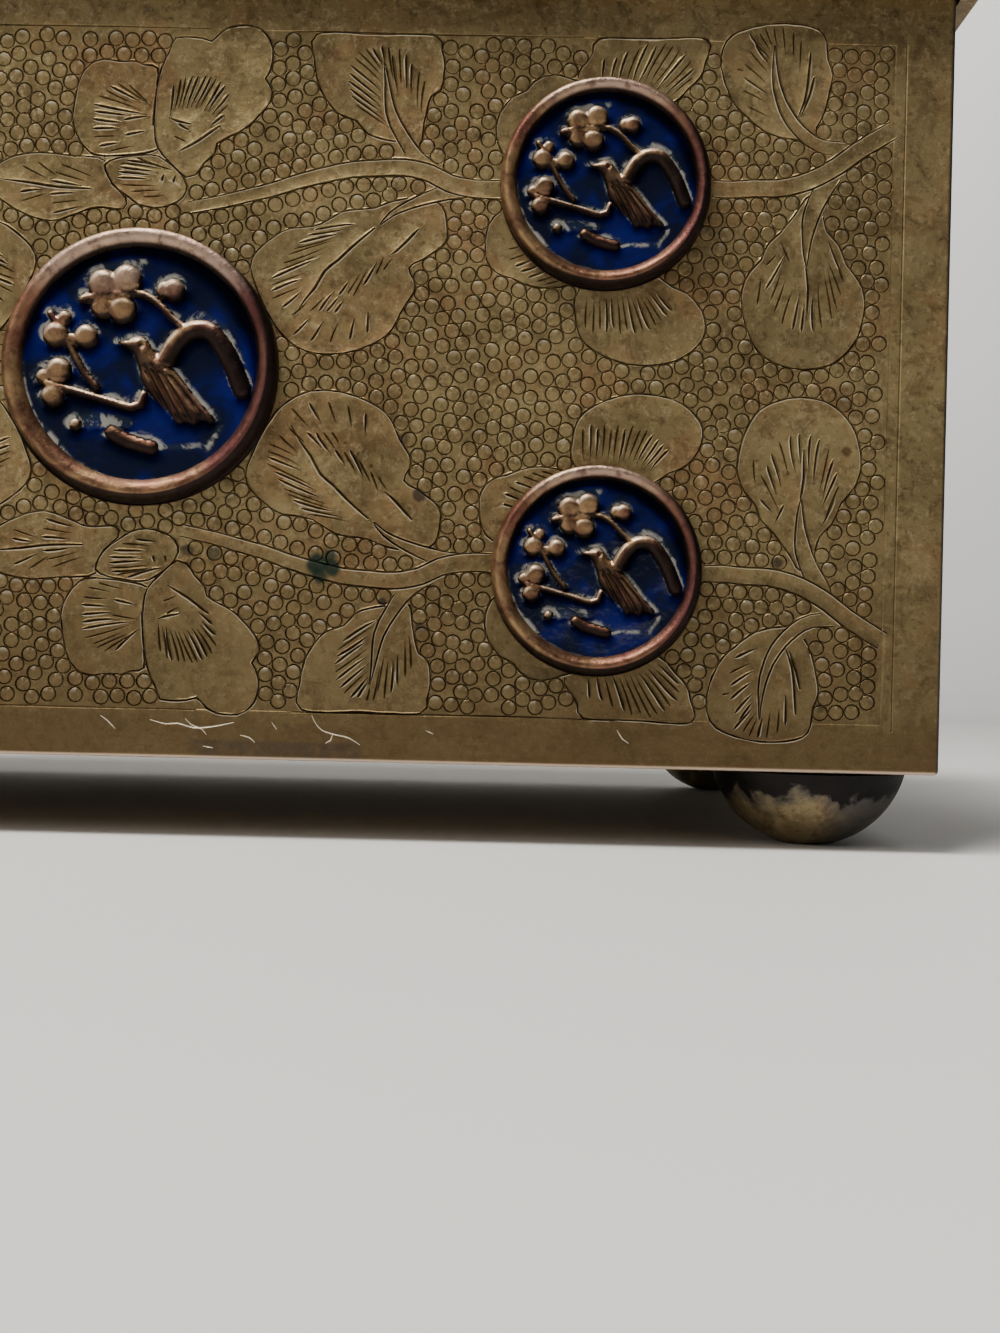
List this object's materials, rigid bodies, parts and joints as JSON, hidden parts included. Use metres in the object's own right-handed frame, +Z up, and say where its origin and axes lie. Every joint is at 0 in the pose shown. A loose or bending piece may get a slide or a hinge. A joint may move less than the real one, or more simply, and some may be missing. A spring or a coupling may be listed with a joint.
{
  "type": "box",
  "caption": "Rectangular chased brass box on dome feet with a lift-off lid and round copper medallions of blue enamel, each with a bird on a blossoming branch.",
  "frame": {"origin": "middle of the box's footprint, on the surface that the feet stand on", "axes": "+X along the box's width, to the right as seen from the front; +Z up; the front wall faces -Y"},
  "size_m": [0.1706, 0.1106, 0.1041],
  "materials": {
    "brass": "chased and patinated",
    "brass_lid": "chased and patinated",
    "brass_feet": "rubbed, patinated",
    "copper": "stamped copper, darkened",
    "enamel": "opaque cobalt enamel, glossy"
  },
  "bodies": {
    "root": {"box_body": "brass", "lid": "brass_lid", "foot_front_left": "brass_feet", "foot_front_right": "brass_feet", "foot_back_left": "brass_feet", "foot_back_right": "brass_feet", "medallion_front_centre_copper": "copper", "medallion_front_lower_left_copper": "copper", "medallion_front_lower_right_copper": "copper", "medallion_front_upper_left_copper": "copper", "medallion_front_upper_right_copper": "copper", "medallion_left_end_copper": "copper", "medallion_right_end_copper": "copper", "medallion_lid_copper": "copper", "medallion_front_centre_enamel": "enamel", "medallion_front_lower_left_enamel": "enamel", "medallion_front_lower_right_enamel": "enamel", "medallion_front_upper_left_enamel": "enamel", "medallion_front_upper_right_enamel": "enamel", "medallion_left_end_enamel": "enamel", "medallion_right_end_enamel": "enamel", "medallion_lid_enamel": "enamel"}
  },
  "joints": []
}
